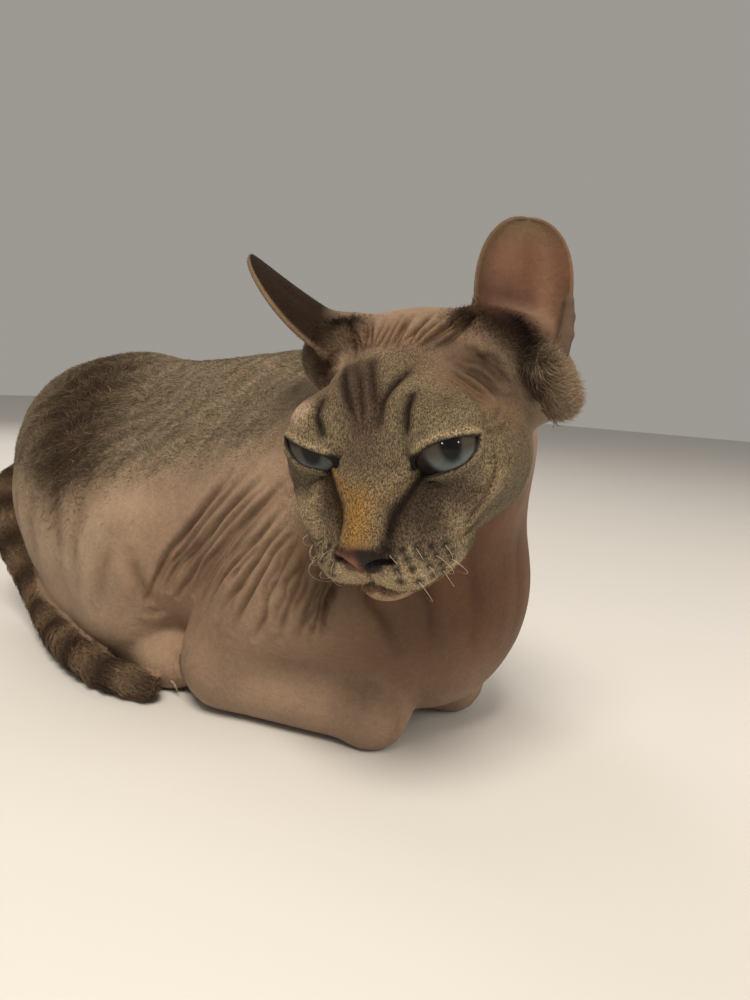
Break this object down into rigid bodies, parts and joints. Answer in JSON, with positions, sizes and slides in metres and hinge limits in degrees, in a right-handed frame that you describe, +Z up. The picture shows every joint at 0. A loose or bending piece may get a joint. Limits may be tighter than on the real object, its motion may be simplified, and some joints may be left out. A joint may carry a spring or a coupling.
{
  "type": "lying sphynx cat",
  "caption": "Sphynx cat at life size, lying in a loaf with its paws tucked under, its head turned to its right and its tail beside it.",
  "frame": {"origin": "on the floor, under the middle of the whole figure", "axes": "+Z up, the trunk lies along Y and faces -Y, and the cat's left side is +X"},
  "size_m": [0.1667, 0.3624, 0.2023],
  "materials": {
    "skin": "matte, warm taupe, finely wrinkled",
    "furred_coat": "short flat down over skin",
    "tail_coat": "dark wavy short fur",
    "ear": "bare, matte",
    "eye": "wet, smooth"
  },
  "bodies": {
    "root": {"head": "skin", "lower_jaw": "skin", "ear_left": "ear", "ear_right": "ear", "eye_left": "eye", "eye_right": "eye", "neck": "skin", "chest": "furred_coat", "belly": "skin", "rump": "furred_coat", "tail_1": "tail_coat", "tail_2": "tail_coat", "tail_3": "tail_coat", "tail_4": "tail_coat", "shoulder_left": "skin", "upper_arm_left": "skin", "forearm_left": "skin", "forepaw_left": "skin", "thigh_left": "skin", "shank_left": "skin", "hind_foot_left": "skin", "shoulder_right": "skin", "upper_arm_right": "skin", "forearm_right": "skin", "forepaw_right": "skin", "thigh_right": "skin", "shank_right": "skin", "hind_foot_right": "skin"}
  },
  "joints": []
}
